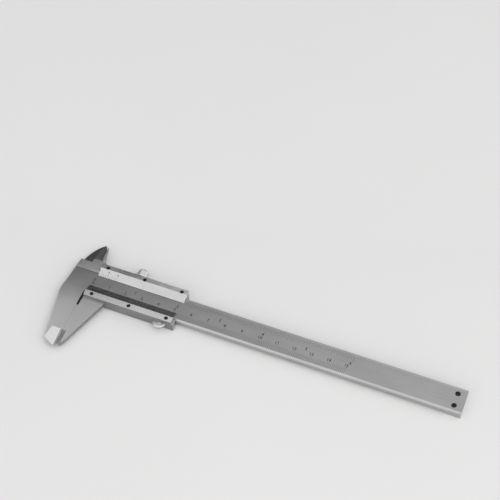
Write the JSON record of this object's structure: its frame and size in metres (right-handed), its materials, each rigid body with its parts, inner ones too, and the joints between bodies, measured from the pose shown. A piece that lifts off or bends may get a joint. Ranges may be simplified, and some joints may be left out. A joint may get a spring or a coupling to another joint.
{
  "type": "vernier caliper",
  "caption": "Sliding vernier caliper with outside and inside jaws, two bevelled vernier plates, a knurled lock screw, a thumb roller and a depth rod.",
  "frame": {"origin": "bottom centre of the closed caliper lying on its back, on the plane that the back cover and the end stop rest on", "axes": "+X along the beam from the jaws towards its far end, +Y across the beam towards the inside jaws, +Z out of the front face"},
  "size_m": [0.2324, 0.0722, 0.008],
  "materials": {
    "satin_steel": "satin hardened stainless steel, finely brushed along the beam",
    "ground_steel": "ground stainless steel, brighter than the beam",
    "knurled_steel": "bright turned and knurled steel",
    "blackened_steel": "black oxide screws",
    "brass": "plain machined brass"
  },
  "bodies": {
    "beam": {"beam": "satin_steel", "end_stop": "satin_steel", "end_stop_screw_1": "blackened_steel", "end_stop_screw_2": "blackened_steel"},
    "slider": {"slider_body": "satin_steel", "upper_vernier_plate": "ground_steel", "lower_vernier_plate": "ground_steel", "upper_plate_screw_1": "blackened_steel", "lower_plate_screw_1": "blackened_steel", "upper_plate_screw_2": "blackened_steel", "lower_plate_screw_2": "blackened_steel", "upper_plate_screw_3": "blackened_steel", "lower_plate_screw_3": "blackened_steel", "gib_strip": "brass", "gib_set_screw_1": "blackened_steel", "gib_set_screw_2": "blackened_steel", "roller_pin": "ground_steel", "depth_rod": "ground_steel", "depth_rod_screw_1": "blackened_steel", "depth_rod_screw_2": "blackened_steel", "back_cover": "satin_steel", "back_cover_screw_1": "blackened_steel", "back_cover_screw_2": "blackened_steel", "back_cover_screw_3": "blackened_steel", "back_cover_screw_4": "blackened_steel"},
    "lock_pad": {"lock_pad": "brass"},
    "lock_screw": {"lock_screw": "knurled_steel"},
    "thumb_roller": {"thumb_roller": "knurled_steel"}
  },
  "joints": [
    {"name": "slider_travel", "type": "slide", "parent": "beam", "child": "slider", "axis": [1, 0, 0], "range_m": [0, 0.15]},
    {"name": "lock_pad_travel", "type": "slide", "parent": "slider", "child": "lock_pad", "axis": [0, 1, 0], "range_m": [-0.00006, 0.001]},
    {"name": "lock_screw_turn", "type": "hinge", "parent": "lock_pad", "child": "lock_screw", "pos_m": [-0.07714, 0.0241, 0.004], "axis": [0, 1, 0], "range_deg": [-45, 720]},
    {"name": "thumb_roller_turn", "type": "hinge", "parent": "slider", "child": "thumb_roller", "pos_m": [-0.05549, -0.00125, 0.0043], "axis": [0, 0, 1], "range_deg": [0, 2355]}
  ],
  "couplings": [
    {"joint": "lock_screw_turn", "follows": "lock_pad_travel", "rad_per_m": 12566},
    {"joint": "thumb_roller_turn", "follows": "slider_travel", "rad_per_m": 273.97}
  ]
}
